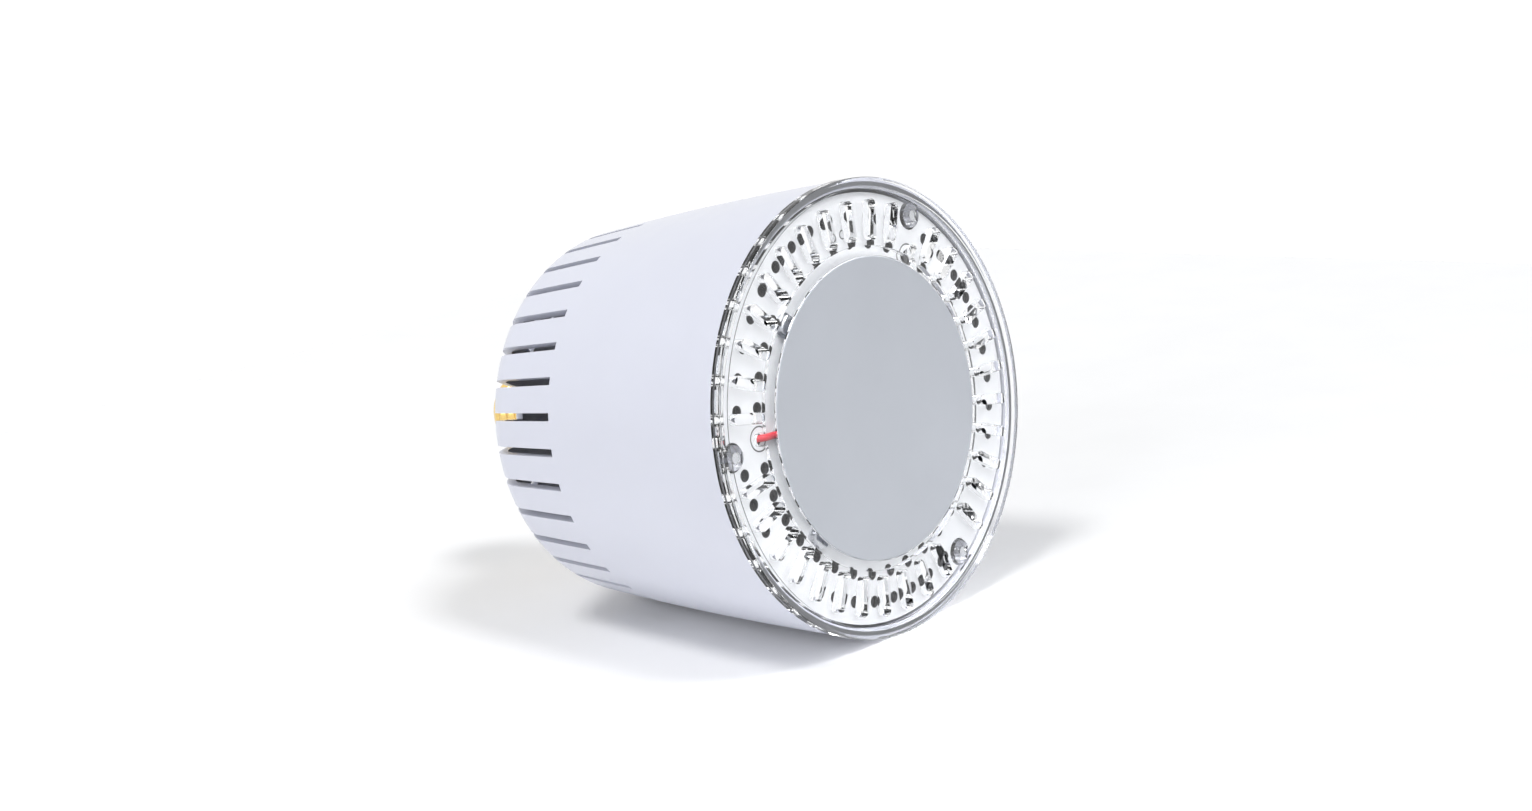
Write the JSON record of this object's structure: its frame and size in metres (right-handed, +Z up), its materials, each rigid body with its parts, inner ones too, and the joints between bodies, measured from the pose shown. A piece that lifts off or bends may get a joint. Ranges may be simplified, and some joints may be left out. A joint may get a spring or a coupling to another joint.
{
  "type": "alarm siren",
  "caption": "Round siren lamp with a clear slotted face, perforated light board, loudspeaker inside, vented white housing and brass screw base.",
  "frame": {"origin": "on the lamp's axis at the front end of the screw base's shell, where it meets the neck", "axes": "+Y along the axis out of the screw base, the clear face looks toward -Y, +Z up with the lamp level"},
  "size_m": [0.1206, 0.1505, 0.1206],
  "materials": {
    "brass_contact": "bright",
    "black_insulator": "glazed",
    "brass_plate": "bright",
    "black_insulation": "smooth",
    "steel_fixings": "plated",
    "cast_aluminium": "die cast",
    "frosted_plastic": "frosted",
    "grey_rubber": "matte",
    "green_board": "solder mask",
    "paper_cone": "treated paper",
    "film_box": "moulded",
    "clear_plastic": "clear polished",
    "white_housing": "satin gloss",
    "white_board": "solder mask",
    "chip": "phosphor",
    "black_sleeve": "sleeved",
    "red_insulation": "smooth",
    "capacitor_sleeve": "sleeved",
    "shield_can": "tinned",
    "relay_case": "moulded",
    "solder": "shiny",
    "black_steel": "black paint",
    "ferrite": "ceramic",
    "spider_cloth": "woven",
    "black_rubber": "matte",
    "yellow_tape": "taped",
    "copper": "enamelled"
  },
  "bodies": {
    "lamp": {"base_contact": "brass_contact", "base_insulator": "black_insulator", "base_shell": "brass_plate", "black_wire": "black_insulation", "board_screws": "steel_fixings", "board_standoffs": "steel_fixings", "board_washers": "steel_fixings", "carrier_plate": "cast_aluminium", "carrier_screws": "steel_fixings", "centre_diffuser": "frosted_plastic", "cover_gasket": "grey_rubber", "cover_screws": "steel_fixings", "driver_board": "green_board", "driver_screws": "steel_fixings", "film_capacitor": "film_box", "front_cover": "clear_plastic", "housing_shell": "white_housing", "led_board": "white_board", "led_chips": "chip", "line_inductor": "black_sleeve", "live_wire": "red_insulation", "main_capacitor": "capacitor_sleeve", "neutral_wire": "black_insulation", "pole_piece": "steel_fixings", "radio_module": "shield_can", "red_wire": "red_insulation", "relay": "relay_case", "solder_joints": "solder", "speaker_frame": "black_steel", "speaker_magnet": "ferrite", "speaker_screws": "steel_fixings", "speaker_spider": "spider_cloth", "speaker_surround": "black_rubber", "speaker_terminals": "steel_fixings", "speaker_wire_negative": "black_insulation", "speaker_wire_positive": "red_insulation", "standoff_screws": "steel_fixings", "top_plate": "steel_fixings", "transformer": "yellow_tape"},
    "diaphragm": {"speaker_cone": "paper_cone", "dust_cap": "paper_cone", "voice_coil": "copper"}
  },
  "joints": [
    {"name": "cone_travel", "type": "slide", "parent": "lamp", "child": "diaphragm", "axis": [0, -1, 0], "range_m": [-0.0008, 0.0008], "stiffness_N_per_m": 1500}
  ]
}
